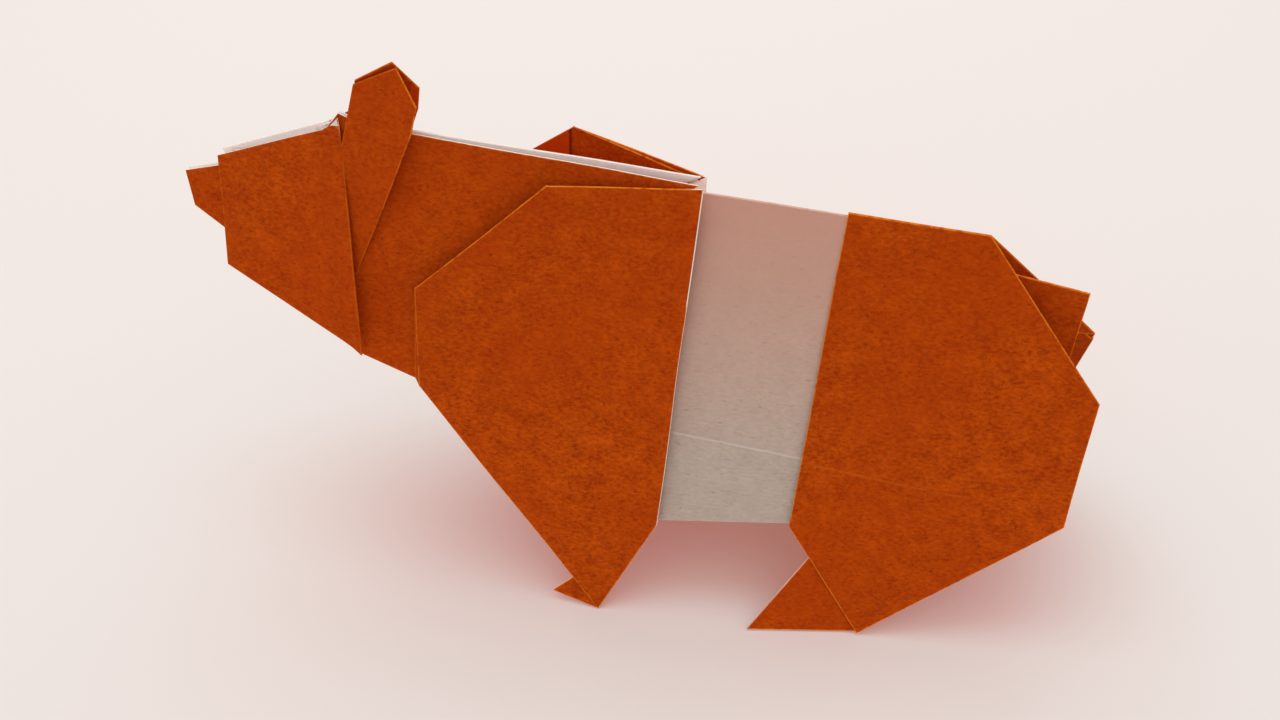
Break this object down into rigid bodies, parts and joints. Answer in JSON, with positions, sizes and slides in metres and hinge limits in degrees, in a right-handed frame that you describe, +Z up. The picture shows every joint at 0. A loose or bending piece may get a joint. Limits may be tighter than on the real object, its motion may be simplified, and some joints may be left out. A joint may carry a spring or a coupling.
{
  "type": "origami bear",
  "caption": "Standing bear folded from one square sheet, leaning sides, bare band behind the shoulders, pleated head and upright ears; a table decoration.",
  "frame": {"origin": "centre of the bounding box, on the ground under the feet", "axes": "+X towards the tail, nose at -X; +Y towards the far side in the picture; +Z up"},
  "size_m": [0.1138, 0.0418, 0.0704],
  "materials": {
    "sheet": "matte fibrous paper, red-brown on one side and white on the other"
  },
  "bodies": {
    "root": {"folded_bear": "sheet"}
  },
  "joints": []
}
